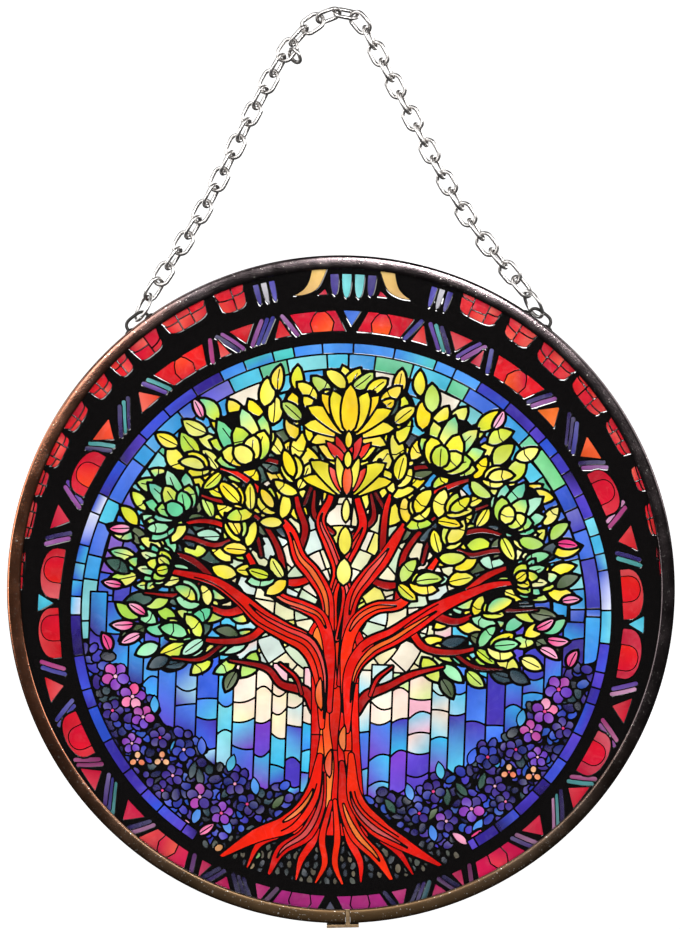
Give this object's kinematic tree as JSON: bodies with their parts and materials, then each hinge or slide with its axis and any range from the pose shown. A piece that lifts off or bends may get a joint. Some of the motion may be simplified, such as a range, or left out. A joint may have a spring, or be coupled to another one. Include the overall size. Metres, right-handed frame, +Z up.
{
  "type": "stained glass suncatcher",
  "caption": "Round leaded picture panel of coloured glass in a channel rim, hung on a fine cable chain to catch light in a window.",
  "frame": {"origin": "hanging point under the topmost chain link", "axes": "+Z up, +X to the viewer's right, front faces -Y"},
  "size_m": [0.15, 0.007, 0.2072],
  "materials": {
    "rim_metal": "polished dark gunmetal patina, slightly blotched",
    "painted_glass": "coloured panes with raised glossy black leading on clear glass",
    "splice_metal": "dull tan brass",
    "loop_wire": "blackened wire, soldered to the rim",
    "chain_metal": "bright nickel plate"
  },
  "bodies": {
    "root": {"rim_channel": "rim_metal", "picture_glass_panel": "painted_glass", "rim_splice": "splice_metal", "hanging_loop_left": "loop_wire", "hanging_loop_right": "loop_wire", "jump_ring_left": "chain_metal", "jump_ring_right": "chain_metal", "chain_link_01": "chain_metal", "chain_link_02": "chain_metal", "chain_link_03": "chain_metal", "chain_link_04": "chain_metal", "chain_link_05": "chain_metal", "chain_link_06": "chain_metal", "chain_link_07": "chain_metal", "chain_link_08": "chain_metal", "chain_link_09": "chain_metal", "chain_link_10": "chain_metal", "chain_link_11": "chain_metal", "chain_link_12": "chain_metal", "chain_link_13": "chain_metal", "chain_link_14": "chain_metal", "chain_link_15": "chain_metal", "chain_link_16": "chain_metal", "chain_link_17": "chain_metal", "chain_link_18": "chain_metal", "chain_link_19": "chain_metal", "chain_link_20": "chain_metal", "chain_link_21": "chain_metal", "chain_link_22": "chain_metal", "chain_link_23": "chain_metal", "chain_link_24": "chain_metal", "chain_link_25": "chain_metal", "chain_link_26": "chain_metal", "chain_link_27": "chain_metal", "chain_link_28": "chain_metal", "chain_link_29": "chain_metal", "chain_link_30": "chain_metal", "chain_link_31": "chain_metal", "chain_link_32": "chain_metal", "chain_link_33": "chain_metal", "chain_link_34": "chain_metal", "chain_link_35": "chain_metal", "chain_link_36": "chain_metal", "chain_link_37": "chain_metal", "chain_link_38": "chain_metal", "chain_tail_ring": "chain_metal"}
  },
  "joints": []
}
